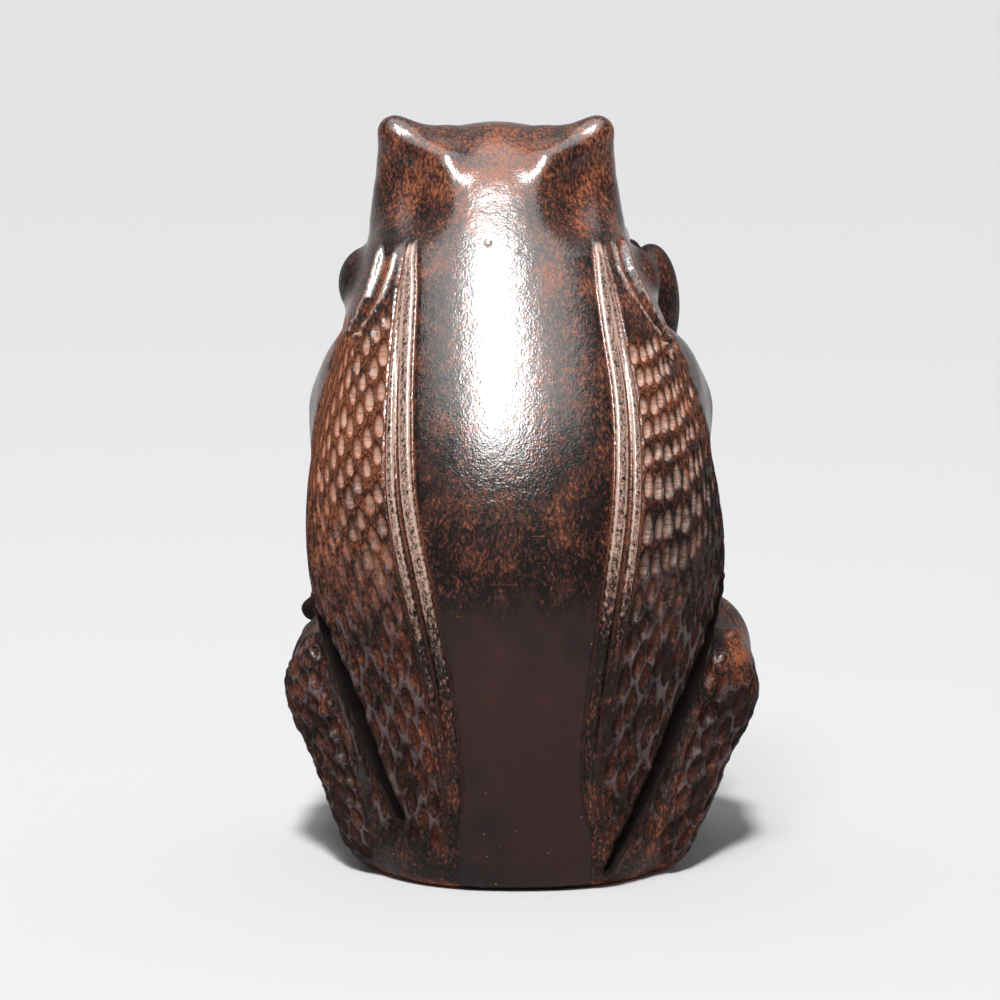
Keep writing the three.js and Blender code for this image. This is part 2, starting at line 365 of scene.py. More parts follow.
def mouth_points():
    """Half an oval round the front of the face, level with the jaw."""
    points = []
    for i in range(MOUTH_STEPS + 1):
        angle = math.pi * i / MOUTH_STEPS
        x, y = -MOUTH_HALF * math.cos(angle), MOUTH_REACH * math.sin(angle)
        points.append([HEAD_X + x, MOUTH_Y + y, MOUTH_Z - x * math.tan(JAW_ROLL)])
    return points


def head_cuts():
    cuts = []
    for side in (LEFT, RIGHT):
        cuts.append((brow_hollow(side), 7))
        cuts.append((ellipsoid([HEAD_X + side * 3.6, 38.2, 116.5], [0.9, 1.8, 0.9]), 0.5))  # nostril
        cuts.append((ellipsoid(eye_centre(side), [BEAD_RADIUS + BEAD_CLEARANCE] * 3), 0.3))
    mouth = mouth_points()
    for a, b in zip(mouth, mouth[1:]):
        cuts.append((limb(a, MOUTH_RADIUS, b, MOUTH_RADIUS), 0.6))
    return cuts


def back_of(forms, x, z):
    """Where a line along +Y at X and height z meets the first of these forms."""
    y = np.arange(-50.0, 20.0, 0.25)
    p = np.stack([np.full_like(y, x), y, np.full_like(y, z)], axis=1)
    inside = np.minimum.reduce([form(p) for form, _ in forms]) < 0
    return float(y[np.argmax(inside)]) if inside.any() else None


def wart_forms():
    made = []
    for side in (LEFT, RIGHT):
        for i, (z, x) in enumerate(WARTS[side]):
            y = back_of(haunch_forms(side), x, z)
            if y is not None:
                size = WART_RADIUS * (0.8 + 0.35 * ((i * 7) % 5) / 5)
                made.append((ellipsoid([x, y + 0.4, z], [size, size, size * 1.25], side * 0.5), 0.7))
    return made


GROUPS = {
    "head": head_forms(),
    "gland": gland_forms(),
    "shoulder": shoulder_forms(),
    "haunch": haunch_forms(LEFT) + haunch_forms(RIGHT),
    "foreleg": foreleg_forms(LEFT) + foreleg_forms(RIGHT),
    "arm": arm_forms(),
    "wart": wart_forms(),
}
CREASES = crease_cuts()
CUTS = CREASES + head_cuts()
NEAR = 5.0  # further than this from a form, it has no say


def near(p, form):
    return np.all((p > form.low - NEAR) & (p < form.high + NEAR), axis=1)


def group_distance(p, name):
    distance = np.full(len(p), 99.0)
    for form, _ in GROUPS[name]:
        here = near(p, form)
        distance[here] = np.minimum(distance[here], form(p[here]))
    return distance


def block(p):
    """Distance from each point to the surface of the uncarved block, negative inside."""
    distance = trunk(p)
    for forms in GROUPS.values():
        for form, blend in forms:
            here = near(p, form)
            distance[here] = smooth_min(distance[here], form(p[here]), blend)
    for form, blend in CUTS:
        here = near(p, form)
        distance[here] = smooth_max(distance[here], -form(p[here]), blend)
    return smooth_max(distance, BASE_Z - p[:, 2], 1.4)


# ---- Meshing ----

VOXEL = 0.62
BACKGROUND = 3 * VOXEL  # the field is kept only this near to the surface
FIELD_LOW, FIELD_HIGH = np.array([-47.0, -42.0, -2.0]), np.array([50.0, 47.0, 143.0])
LAYERS = 16  # how many layers of the field are worked out at a time


def mesh_block():
    """The block's surface as points, in mm, and faces of four points each."""
    count = np.ceil((FIELD_HIGH - FIELD_LOW) / VOXEL).astype(int)
    axes = [FIELD_LOW[i] + VOXEL * np.arange(count[i]) for i in range(3)]
    field = np.empty(count, dtype=np.float32)
    for k in range(0, count[2], LAYERS):
        heights = axes[2][k : k + LAYERS]
        x, y, z = np.meshgrid(axes[0], axes[1], heights, indexing="ij")
        p = np.stack([x.ravel(), y.ravel(), z.ravel()], axis=1)
        field[:, :, k : k + LAYERS] = block(p).reshape(count[0], count[1], len(heights))
    grid = vdb.FloatGrid(BACKGROUND)
    grid.copyFromArray(np.clip(field, -BACKGROUND, BACKGROUND))
    points, quads = grid.convertToQuads(isovalue=0.0)
    return points.astype(float) * VOXEL + FIELD_LOW, quads


GRADIENT_STEP = 0.04
LONGEST_MOVE = 0.8


def gradient(p, here):
    slope = np.empty_like(p)
    for axis in range(3):
        shift = np.zeros(3)
        shift[axis] = GRADIENT_STEP
        slope[:, axis] = (block(p + shift) - here) / GRADIENT_STEP
    return slope


def settle(p, rounds):
    """Moves each point onto the block's surface, and gives the normals there."""
    for _ in range(rounds):
        here = block(p)
        slope = gradient(p, here)
        size = np.maximum((slope * slope).sum(axis=1), 0.05)
        move = -(here / size)[:, None] * slope
        length = np.linalg.norm(move, axis=1, keepdims=True)
        p = p + move * np.minimum(1, LONGEST_MOVE / np.maximum(length, 1e-6))
    slope = gradient(p, block(p))
    return p, slope / np.maximum(np.linalg.norm(slope, axis=1, keepdims=True), 1e-6)


def make_mesh(name, points, faces):
    mesh = bpy.data.meshes.new(name)
    mesh.from_pydata([], [], [])
    mesh.vertices.add(len(points))
    mesh.vertices.foreach_set("co", np.asarray(points, dtype=np.float32).ravel())
    mesh.loops.add(faces.size)
    mesh.loops.foreach_set("vertex_index", faces.astype(np.int32).ravel())
    mesh.polygons.add(len(faces))
    mesh.polygons.foreach_set("loop_start", np.arange(0, faces.size, 4, dtype=np.int32))
    mesh.update(calc_edges=True)
    mesh.validate()
    return mesh


def co_of(mesh):
    co = np.empty(len(mesh.vertices) * 3, dtype=np.float32)
    mesh.vertices.foreach_get("co", co)
    return co.reshape(-1, 3).astype(float)


# ---- Gouge work ----


# How much the cuts vary: a column's shift, a cut's place across and along, its size and its depth.
VARY_SHIFT, VARY_ACROSS, VARY_ALONG, VARY_SIZE, VARY_DEPTH = 0.16, 0.26, 0.24, 0.20, 0.3


def lattice_noise(column, row, seed):
    """A number from 0 to 1 that seems random, but is the same each time for one cell of the net."""
    value = np.sin(column * 12.9898 + row * 78.233 + seed * 37.719) * 43758.5453
    return value - np.floor(value)


def scoops(across, row, width, stagger, seed, wide, tall, round_ends=1.5):
    """Scooped cuts in a net. across is in mm, and row counts cuts along the stroke, growing upwards.

    wide and tall are half a cut's size as a share of the net's, and round_ends is 2 for an oval and less
    for a leaf. Gives the depth of the cut, and how near the ridge between two cuts is, from 0 to 1."""
    deepest = np.zeros(len(across))
    second = np.zeros(len(across))
    column_here = np.floor(across / width)
    for side in (-1, 0, 1):
        column = column_here + side
        shift = stagger * (column % 2) + VARY_SHIFT * lattice_noise(column, 3.0, seed)
        row_here = np.floor(row - shift)
        for up in (-1, 0, 1):
            index = row_here + up
            wander = lattice_noise(column, index, seed) - 0.5
            drift = lattice_noise(column, index, seed + 1) - 0.5
            size = 0.90 + VARY_SIZE * lattice_noise(column, index, seed + 2)
            across_share = (across - (column + 0.5 + VARY_ACROSS * wander) * width) / (wide * width * size)
            along_share = (row - (index + 0.5 + shift + VARY_ALONG * drift)) / (tall * size)
            along_share = along_share + 0.22 * (1 - np.minimum(along_share**2, 1))
            depth = 1 - np.abs(across_share) ** round_ends - np.abs(along_share) ** round_ends
            depth = np.maximum(depth, 0) * (0.82 + VARY_DEPTH * lattice_noise(column, index, seed + 3))
            second = np.maximum(second, np.minimum(deepest, depth))
            deepest = np.maximum(deepest, depth)
    ridge = 1 - smoothstep(0.0, 0.42, deepest - second)
    return deepest, ridge


ARC_STEP, ARC_COLUMNS = 2.0, 361


def arc_tables():
    """Distance round the trunk from the middle of the back, by height and by direction from its axis."""
    heights = np.arange(0, TRUNK_TOP + ARC_STEP / 2, ARC_STEP)
    turns = np.linspace(-math.pi, math.pi, ARC_COLUMNS)
    centre, half, middle, depth = trunk_section(heights)
    sine, cosine = np.abs(np.sin(turns)), np.abs(np.cos(turns))
    reach = (
        (sine[None, :] / half[:, None]) ** OVALNESS + (cosine[None, :] / depth[:, None]) ** OVALNESS
    ) ** (-1 / OVALNESS)
    x, y = reach * np.sin(turns), -reach * np.cos(turns)
    length = np.hypot(np.diff(x, axis=1), np.diff(y, axis=1))
    arc = np.concatenate([np.zeros((len(heights), 1)), np.cumsum(length, axis=1)], axis=1)
    return heights, turns, arc - arc[:, [ARC_COLUMNS // 2]]


HEIGHTS, TURNS, ARC = arc_tables()


def arc_at(z, turn):
    row = np.clip(z / (HEIGHTS[1] - HEIGHTS[0]), 0, len(HEIGHTS) - 1.001)
    column = np.clip((turn + math.pi) / (TURNS[1] - TURNS[0]), 0, len(TURNS) - 1.001)
    i, j = row.astype(int), column.astype(int)
    a, b = row - i, column - j
    near_column = ARC[i, j] * (1 - a) + ARC[i + 1, j] * a
    far_column = ARC[i, j + 1] * (1 - a) + ARC[i + 1, j + 1] * a
    return near_column * (1 - b) + far_column * b


def arc_of(x, y, z):
    centre, _, middle, _ = trunk_section(z)
    return arc_at(z, np.arctan2(x - centre, middle - y))


def arc_of_path(x, z):
    """The arc distance at which a path on the back, with X given for each height, lies."""
    centre, half, middle, depth = trunk_section(z)
    share = np.minimum(np.abs(x - centre) / half, 0.999)
    y = middle - depth * (1 - share**OVALNESS) ** (1 / OVALNESS)
    return arc_of(x, y, z)


def cord_arcs(z, side):
    """Arc distances of the inner and outer cords on one side."""
    column = 0 if side == LEFT else 1
    inner = look_up(CORD_TABLE, z, column)
    low, high = CORD_PATH[0][0], CORD_PATH[-1][0]
    ease = np.clip((z - low + CORD_EASE) / (high - low + 2 * CORD_EASE), 0, 1)
    spread = CORD_PITCH * np.sin(math.pi * ease)
    inner_arc = arc_of_path(inner, z)
    return inner_arc, inner_arc + side * spread


def bump(distance, half_width):
    """A rounded strip's profile: 1 on its centre line, 0 at half_width and beyond."""
    return np.sqrt(np.maximum(1 - (distance / half_width) ** 2, 0))


def notch(distance, half_width):
    """A V groove's profile: 1 on its line, 0 at half_width and beyond."""
    return np.maximum(1 - np.abs(distance) / half_width, 0)


# The patterns of cuts. The tables are (heights, values), and lengths are in mm.
FLANK_WIDTH = 2.4
FLANK_DEPTH = 1.15
FLANK_ROWS = {  # how many rows of cuts there are up to each height
    LEFT: ([5, 30, 62, 108], [0, 3.2, 7.4, 15.2]),
    RIGHT: ([5, 60, 78, 100], [0, 7.4, 10.1, 15.1]),
}
FLANK_WIDE = ([45, 75], [0.66, 0.53])
FLANK_ROUND = ([45, 75], [1.5, 2.0])
FLANK_TALL = {LEFT: ([50, 75], [0.54, 0.40]), RIGHT: ([50, 75], [0.54, 0.46])}
FLANK_STAGGER = {LEFT: ([0, 1], [0.5, 0.5]), RIGHT: ([48, 62], [0.5, 0.1])}
FLANK_SLANT = {LEFT: 0.1, RIGHT: 0.22}
LIMB_WIDTH = {LEFT: 2.3, RIGHT: 2.7}
LIMB_WIDE, LIMB_TALL = 0.78, 0.58
LIMB_LENGTH = {LEFT: 4.8, RIGHT: 6.4}
LIMB_DEPTH, SHANK_DEPTH = 1.2, 0.45
THIGH_RADIUS, SHANK_RADIUS = 12.0, 9.5  # where the net's width is measured
FLANK_SEED, THIGH_SEED, SHANK_SEED = 11, 21, 31
LIMB_TOP = {LEFT: (41, 46), RIGHT: (34, 39)}  # where the net of scales fades out under the smooth knee
PITS = [[-4.4, 118.4, 0.7], [1.7, 117, 0.5], [-2.2, 110.8, 0.5]]  # dents in the back: X, height, radius
CORD_HEIGHT, GROOVE_DEPTH = 0.5, 0.4
CORD_THIN = ([12, 60, 110, 118], [0.5, 1.0, 1.0, 0.4])
# How pale the cords are, by height: rubbed pale, and paler higher up as a painted highlight.
CORD_PALE_AND_LIT = {
    LEFT: ([15, 35, 50, 62, 78], [0.0, 0.12, 0.3, 0.6, 1.0]),
    RIGHT: ([46, 60, 74], [0.0, 0.45, 1.0]),
}
BAND_LEAN = 0.72  # how much narrower the slanting band is than its width across the back
BAND_HALF, BAND_DEPTH = 1.5, 1.0
BAND_EDGE_AT, BAND_EDGE_WIDTH, BAND_EDGE = 1.7, 0.4, 0.6
LIP_HEIGHT = 0.4

# How far the patina is rubbed through to the wood, from 0 to 1: (heights, amounts).
HEAD_WORN = ([110, 114, 122, 130], [0.40, 0.36, 0.42, 0.52])
PANEL_WORN = ([44, 60, 78, 95, 120], [-0.1, 0.43, 0.39, 0.45, 0.38])
# On the right flank the middle heights are set lower, and so darker, as painted shade on the side turned
# from the light.
FLANK_WEAR_AND_SHADE = {
    LEFT: ([20, 50, 70, 88, 101, 110], [0.37, 0.47, 0.66, 0.86, 0.74, 0.48]),
    RIGHT: ([20, 50, 70, 88, 101, 110], [0.37, 0.36, 0.39, 0.76, 0.66, 0.46]),
}
HAUNCH_WORN = ([20, 40, 50], [0.31, 0.40, 0.54])


def limb_scoops(p, a, b, radius, side, seed):
    """Scoops in a net of scales round a limb."""
    a, b = np.array(a, dtype=float), np.array(b, dtype=float)
    along = (b - a) / np.linalg.norm(b - a)
    inward = np.array([-math.copysign(1, b[0]), 0.3, 0.2])
    first = inward - along * (inward @ along)
    first /= np.linalg.norm(first)
    second = np.cross(along, first)
    q = p - a
    right, ahead = q @ second, q @ first
    turn = np.arctan2(right, ahead) + math.pi
    row = (q @ along) / LIMB_LENGTH[side] + 40
    depth, ridge = scoops(turn * radius, row, LIMB_WIDTH[side], 0.5, seed, LIMB_WIDE, LIMB_TALL)
    off_the_end = smoothstep(0.4, 0.75, np.hypot(right, ahead) / radius)
    return depth * off_the_end, ridge * off_the_end


MASKS = ("cut", "ridge", "groove", "cord", "pale", "matte")


class Carving:
    """What the gouge does to the points of the block.

    move is how far each point goes along its normal, in mm. The masks say where the wood is cut, ridged,
    grooved, corded, pale and matte (the cords' paleness partly a painted highlight), and the wear mask says
    how far hands have rubbed the patina through; on the right flank and on the glands and arms it is also
    set lower as painted shade."""

    def __init__(self, p):
        self.p = p
        self.x, self.y, self.z = p.T
        self.arc = arc_of(self.x, self.y, self.z)
        self.own = trunk(p)
        self.parts = {name: group_distance(p, name) for name in GROUPS}
        others = np.minimum.reduce(list(self.parts.values()))
        self.on_trunk = smoothstep(0.2, 1.6, others - self.own)
        self.crease = np.minimum.reduce([form(p) for form, _ in CREASES])
        self.clear_of_crease = smoothstep(0.2, 1.2, self.crease)
        self.move = np.zeros(len(p))
        self.masks = {name: np.zeros(len(p)) for name in MASKS}
        self.worn_and_shade = np.interp(self.z, *HEAD_WORN)

    def mine(self, side):
        return side * self.arc > 0

    def wear(self, zone, amount):
        """Sets how far the patina is rubbed through in a zone; on the right flank this also carries painted
        shade.
        """
        self.worn_and_shade += zone * (amount - self.worn_and_shade)

    def scoop(self, depth, ridge, zone, how_deep):
        self.move -= how_deep * depth * zone
        self.masks["cut"] += depth * zone
        self.masks["ridge"] += ridge * zone
        self.masks["matte"] += zone

    def cords(self, side):
        """The two raised cords on one side of the back, with grooves beside and between them."""
        z = self.z
        inner, outer = cord_arcs(z, side)
        inner_gap = side * (self.arc - inner)
        outer_gap = side * (self.arc - outer)
        mine = self.mine(side)
        ends = smoothstep(6, 13, z) * (1 - smoothstep(115, 119, z)) * self.on_trunk * mine
        thin = np.interp(z, *CORD_THIN)
        strip = np.maximum(bump(inner_gap, INNER_CORD * thin), bump(outer_gap, OUTER_CORD * thin)) * ends
        between = CORD_PITCH / 2 + (INNER_CORD - OUTER_CORD) / 2
        lines = [
            (inner_gap + INNER_CORD * thin + 0.35, 0.5),
            (inner_gap - between, 0.6),
            (outer_gap - OUTER_CORD * thin - 0.4, 0.5),
        ]
        line = np.maximum.reduce([notch(gap, half) for gap, half in lines]) * ends
        self.move += CORD_HEIGHT * strip - GROOVE_DEPTH * line
        self.masks["cord"] += strip
        # The pale mask: rubbed pale cords, paler higher up as a painted highlight.
        self.masks["pale"] += np.minimum(3 * strip, 1) * np.interp(z, *CORD_PALE_AND_LIT[side])
        self.masks["groove"] += line
        on_panel = smoothstep(0.6, 1.8, -inner_gap) * mine * self.on_trunk * (1 - smoothstep(116, 122, z))
        self.wear(on_panel, np.interp(z, *PANEL_WORN))
        return outer_gap

    def flank(self, side, outer_gap):
        """Ovals high on the flank and leaf-shaped scoops low on it, down to a raised lip at the crease."""
        y, z = self.y, self.z
        mine = self.mine(side)
        row = np.interp(z - FLANK_SLANT[side] * outer_gap, *FLANK_ROWS[side])
        depth, ridge = scoops(
            outer_gap - 1.6,
            row,
            FLANK_WIDTH,
            np.interp(z, *FLANK_STAGGER[side]),
            FLANK_SEED + side,
            np.interp(z, *FLANK_WIDE),
            np.interp(z, *FLANK_TALL[side]),
            np.interp(z, *FLANK_ROUND),
        )
        zone = (
            smoothstep(1.3, 2.2, outer_gap) * self.on_trunk * mine * self.clear_of_crease
            * smoothstep(6, 10, z) * (1 - smoothstep(101, 110, z + 0.25 * outer_gap))
            * (1 - smoothstep(8, 16, y))
        )
        self.scoop(depth, ridge, zone, FLANK_DEPTH)
        on_flank = smoothstep(1.0, 2.0, outer_gap) * self.on_trunk * mine * (1 - smoothstep(10, 18, y))
        # Rubbed patina, with painted shade where the right flank's middle is set darker.
        self.wear(on_flank, np.interp(z, *FLANK_WEAR_AND_SHADE[side]))
        lip = np.exp(-(((self.crease - 0.9) / 0.55) ** 2))
        self.move += LIP_HEIGHT * lip * mine * smoothstep(0.0, 0.8, self.parts["haunch"] - self.own)

    def band(self, side):
        """The hollow band from the gland to the shoulder, between two thin raised edges."""
        z = self.z
        band_z, band_x = np.array(sorted(BAND[side])).T
        across = side * (self.arc - arc_of_path(np.interp(z, band_z, band_x), z)) * BAND_LEAN
        along = smoothstep(band_z[0] - 3, band_z[0], z) * (1 - smoothstep(band_z[-1] - 3, band_z[-1], z))
        along = along * self.mine(side)
        edge = along * np.exp(-(((np.abs(across) - BAND_EDGE_AT) / BAND_EDGE_WIDTH) ** 2))
        self.move += BAND_EDGE * edge - BAND_DEPTH * along * np.maximum(1 - (across / BAND_HALF) ** 2, 0)
        self.masks["cord"] += 0.6 * edge
        self.masks["pale"] += 0.55 * edge
        self.masks["groove"] += 0.6 * along * np.maximum(1 - (across / 1.3) ** 2, 0)

    def haunch(self, side):
        """The net of scales on the thigh, which fades out below the smooth knee."""
        z, parts = self.z, self.parts
        hip, bend, _ = thigh_ends(side)
        depth, ridge = limb_scoops(self.p, hip, bend, THIGH_RADIUS, side, THIGH_SEED)
        nearest = np.minimum(self.own, parts["foreleg"])
        on_haunch = smoothstep(0.2, 1.4, nearest - parts["haunch"]) * self.mine(side)
        net = (1 - smoothstep(*LIMB_TOP[side], z)) * smoothstep(1.5, 4, z)
        zone = on_haunch * self.clear_of_crease * net
        self.scoop(depth, ridge, zone, LIMB_DEPTH)
        self.wear(on_haunch, np.interp(z, *HAUNCH_WORN))

    def shank(self, side):
        """Fainter scales on the foreleg."""
        z, parts = self.z, self.parts
        depth, ridge = limb_scoops(self.p, *shank_ends(side), SHANK_RADIUS, side, SHANK_SEED)
        nearest = np.minimum.reduce([self.own, parts["haunch"], parts["arm"]])
        on_shank = smoothstep(0.2, 1.4, nearest - parts["foreleg"])
        zone = on_shank * self.mine(side) * smoothstep(9, 13, z) * (1 - smoothstep(29, 36, z))
        self.scoop(depth, ridge, zone, SHANK_DEPTH)

    def brow(self, side):
        """The dull, rubbed hollow behind the brow."""
        hollow = 1 - smoothstep(-0.5, 4.0, brow_hollow(side)(self.p))
        self.masks["matte"] = np.maximum(self.masks["matte"], 1.25 * hollow)
        outward = smoothstep(12.5, 16, side * (self.x - HEAD_X))
        self.worn_and_shade += hollow * (1 - smoothstep(129, 134, self.z)) * (0.38 * outward - 0.08)

    def glands_and_arms(self):
        for name in ("gland", "arm"):
            gap = self.parts[name]
            zone = smoothstep(0.2, 1.2, self.own - gap) * (1 - smoothstep(0.3, 1.5, gap))
            # Painted shade: the glands and arms are set a little darker.
            self.worn_and_shade -= 0.04 * zone
            self.masks["matte"] = np.maximum(self.masks["matte"], zone)

    def rubs(self):
        """Patches that hands have rubbed: the forehead, the right knee and the bottom edge."""
        x, z = self.x, self.z
        self.worn_and_shade += 0.16 * np.exp(-(((x + 0.5) / 8) ** 2) - ((z - 135) / 5) ** 2)
        self.worn_and_shade += 0.25 * np.exp(-(((x - 42.5) / 3) ** 2) - ((z - 38.5) / 3) ** 2)
        self.masks["worn_and_shade"] = self.worn_and_shade + 0.5 * np.exp(-((z / 1.1) ** 2))

    def dents(self):
        for pit_x, pit_z, radius in PITS:
            away = np.hypot(self.x - pit_x, self.z - pit_z) / radius
            dent = (1 - smoothstep(0.3, 1.0, away)) * (self.y < 0)
            self.move -= 0.3 * radius * dent
            self.masks["cut"] += 0.5 * dent


def carve(p):
    """How far the gouge moves each point along its normal, in mm, and the masks that colour the wood."""
    work = Carving(p)
    for side in (LEFT, RIGHT):
        work.flank(side, work.cords(side))
        work.band(side)
        work.haunch(side)
        work.shank(side)
        work.brow(side)
    work.glands_and_arms()
    work.rubs()
    work.dents()
    work.masks["crease"] = 1 - smoothstep(0.2, 1.6, work.crease)
    work.masks["groove"] = np.maximum(work.masks["groove"], work.masks["crease"])
    return work.move, work.masks


# ---- Materials ----


def new_material(name):
    material = bpy.data.materials.new(name)
    material.use_nodes = True
    tree = material.node_tree
    tree.nodes.clear()
    output = tree.nodes.new("ShaderNodeOutputMaterial")
    shader = tree.nodes.new("ShaderNodeBsdfPrincipled")
    tree.links.new(shader.outputs[0], output.inputs[0])
    return material, tree, shader


class Nodes:
    """Short calls for the nodes that the materials share."""

    def __init__(self, tree):
        self.tree = tree
        self.place = self.add("TexCoord").outputs["Object"]

    def add(self, kind, values=None):
        return self.fill(self.tree.nodes.new("ShaderNode" + kind), values or {})

    def fill(self, node, values):
        """Gives each of a node's inputs that is named here its value or its link."""
        for name, value in values.items():
            self.link(value, node.inputs[name])
        return node

    def link(self, value, socket):
        if isinstance(value, bpy.types.NodeSocket):
            self.tree.links.new(value, socket)
        else:
            socket.default_value = value

    def attribute(self, name):
        node = self.add("Attribute")
        node.attribute_name = name
        return node.outputs["Fac"]

    def axis(self, letter):
        return self.add("SeparateXYZ", {0: self.place}).outputs[letter]

    def mapped(self, scale=(1, 1, 1), turn=(0, 0, 0)):
        return self.add("Mapping", {"Rotation": turn, "Scale": scale, "Vector": self.place}).outputs[0]

    def noise(self, scale, detail=3, roughness=0.55, vector=None, distortion=0.0):
        values = {"Scale": scale, "Detail": detail, "Roughness": roughness, "Distortion": distortion}
        return self.add("TexNoise", values | {"Vector": vector or self.place}).outputs["Fac"]

    def math(self, operation, a, b, clamp=False):
        node = self.add("Math", {0: a, 1: b})
        node.operation = operation
        node.use_clamp = clamp
        return node.outputs[0]

    def times(self, a, b):
        return self.math("MULTIPLY", a, b)

    def plus(self, a, b, clamp=False):
        return self.math("ADD", a, b, clamp)

    def rest_of(self, share):
        return self.math("SUBTRACT", 1.0, share)

    def swing(self, noise, gain):
        """A noise as a swing about zero, times a gain."""
        return self.times(self.math("SUBTRACT", noise, 0.5), gain)

    def ramp(self, value, low, high, to_low=0.0, to_high=1.0):
        values = {"Value": value, "From Min": low, "From Max": high, "To Min": to_low, "To Max": to_high}
        node = self.add("MapRange", values)
        node.interpolation_type = "SMOOTHSTEP"
        return node.outputs["Result"]

    def mix(self, share, a, b):
        node = self.add("Mix")
        node.data_type = "RGBA"
        return self.fill(node, {"Factor": share, "A": a, "B": b}).outputs["Result"]

    def bump(self, height, distance, strength=1.0, normal=None):
        node = self.add("Bump", {"Strength": strength, "Distance": distance, "Height": height})
        if normal is not None:
            self.link(normal, node.inputs["Normal"])
        return node.outputs[0]


def colour(r, g, b):
    return (r, g, b, 1.0)


BLACK = colour(0.005, 0.0030, 0.0028)
SOOT = colour(0.017, 0.0110, 0.0115)
UMBER = colour(0.036, 0.0155, 0.0148)
BROWN = colour(0.055, 0.018, 0.011)
RUSSET = colour(0.14, 0.040, 0.020)
ORANGE = colour(0.36, 0.115, 0.050)
ROSE = colour(0.24, 0.125, 0.095)
TAN = colour(0.62, 0.42, 0.33)
# Painted sheen: the grey of the ridges low down, where they reflect the pale floor and backdrop.
SHEEN_GREY = colour(0.135, 0.104, 0.110)


class Wood(Nodes):
    """The noises and the carving's masks, which the wood's colour, gloss and relief share."""

    def __init__(self, tree):
        super().__init__(tree)
        self.z = self.axis("Z")
        self.cut, self.ridge, self.groove = (self.attribute(name) for name in ("cut", "ridge", "groove"))
        self.cord, self.pale, self.matte = (self.attribute(name) for name in ("cord", "pale", "matte"))
        self.crease = self.attribute("crease")
        self.cloud = self.noise(45, 4, 0.6)
        self.patch = self.noise(170, 4, 0.65)
        self.specks = self.noise(1700, 4, 0.72, self.mapped((1.15, 1.0, 0.6), (0, 0.55, 0)))
        self.grit = self.noise(3000, 3, 0.7)
        self.strokes = self.noise(1100, 3, 0.6, self.mapped((0.3, 0.3, 2.2)))
        self.scratch = self.noise(420, 4, 0.7, self.mapped((0.22, 0.22, 3.4), (0, 0.05, 0)))
        # The wear mask: rubbed patina, with painted shade on the right flank and on the glands and arms.
        worn_and_shade = self.attribute("worn_and_shade")
        uneven = self.plus(self.swing(self.cloud, 0.7), self.swing(self.patch, 0.9))
        self.worn_and_shade = self.plus(worn_and_shade, self.times(uneven, self.ramp(worn_and_shade, 0.0, 0.4)))
        self.level = self.plus(self.specks, self.swing(self.worn_and_shade, 0.5))
        self.fleck = self.ramp(self.level, 0.56, 0.66)

    def over(self, under, top, *shares):
        """One colour over another, by the product of the shares."""
        share = shares[0]
        for other in shares[1:]:
            share = self.times(share, other)
        return self.mix(share, under, top)

    def patina(self):
        """The black-brown ground, and the flecks where it is rubbed through to orange."""
        dark = self.mix(self.ramp(self.specks, 0.35, 0.70, 0.0, 0.3), UMBER, BROWN)
        # Low on the back it lies thick: sooty clouds, faint brown rubs and a few pale grains of dust.
        low = self.ramp(self.z, 0.066, 0.048)
        dark = self.over(dark, SOOT, self.ramp(self.cloud, 0.52, 0.36, 0.0, 0.75), low)
        dark = self.over(dark, BROWN, self.ramp(self.patch, 0.54, 0.72, 0.0, 0.8), low)
        dark = self.over(dark, RUSSET, self.ramp(self.scratch, 0.66, 0.74, 0.0, 0.5), low)
        dark = self.over(dark, TAN, self.ramp(self.noise(900, 2, 0.5), 0.755, 0.775, 0.0, 0.6), low)
        wood = self.over(dark, BLACK, self.ramp(self.worn_and_shade, 0.1, 0.3), self.ramp(self.patch, 0.68, 0.48))
        wood = self.over(wood, BROWN, self.ramp(self.level, 0.40, 0.50))
        wood = self.over(wood, RUSSET, self.ramp(self.level, 0.48, 0.58))
        wood = self.over(wood, ORANGE, self.fleck)
        middle = self.times(self.ramp(self.z, 0.046, 0.060), self.ramp(self.z, 0.100, 0.080))
        return self.over(wood, ORANGE, self.ramp(self.scratch, 0.65, 0.74), middle, 0.8)

    def cuts(self, wood):
        """The cuts: high up their floors are painted pale as a highlight, a black rim round each cut and
        black along the ridges are painted shade, low down the ridges carry a painted grey sheen, and the
        grooves and crease are painted dark: the crease as shade, the grooves partly.
        """
        high = self.ramp(self.z, 0.045, 0.085)
        # Painted highlight: high up, the floors of the cuts are painted pale tan, more so higher, where
        # they would catch the light; low down they keep the brown of bare wood.
        floor = self.times(self.ramp(self.cut, 0.30, 0.65), self.ramp(self.strokes, 0.36, 0.58, 0.35, 1.0))
        bare_and_lit = self.mix(high, self.mix(self.ramp(self.patch, 0.4, 0.6), BROWN, RUSSET), TAN)
        wood = self.over(wood, bare_and_lit, floor, self.ramp(self.z, 0.045, 0.090, 0.45, 0.85))
        # Painted shade: a black rim round the edge of each cut.
        rim_shade = self.times(self.ramp(self.cut, 0.01, 0.10), self.ramp(self.cut, 0.32, 0.16))
        wood = self.over(wood, BLACK, rim_shade, self.ramp(self.grit, 0.56, 0.44, 0.2, 0.85))
        # Painted shade: black along the ridges between the cuts, high up.
        ridge_shade = self.times(self.ridge, self.ramp(self.grit, 0.42, 0.54))
        wood = self.over(wood, BLACK, ridge_shade, self.times(high, 0.85))
        # Painted sheen: low down, the ridges between the cuts are painted grey.
        crest_sheen = self.times(self.ramp(self.ridge, 0.25, 0.95), self.matte)
        crest_sheen = self.times(crest_sheen, self.ramp(self.z, 0.066, 0.048, 0.0, 0.75))
        wood = self.over(wood, SHEEN_GREY, crest_sheen, self.ramp(self.patch, 0.42, 0.58, 0.1, 1.0))
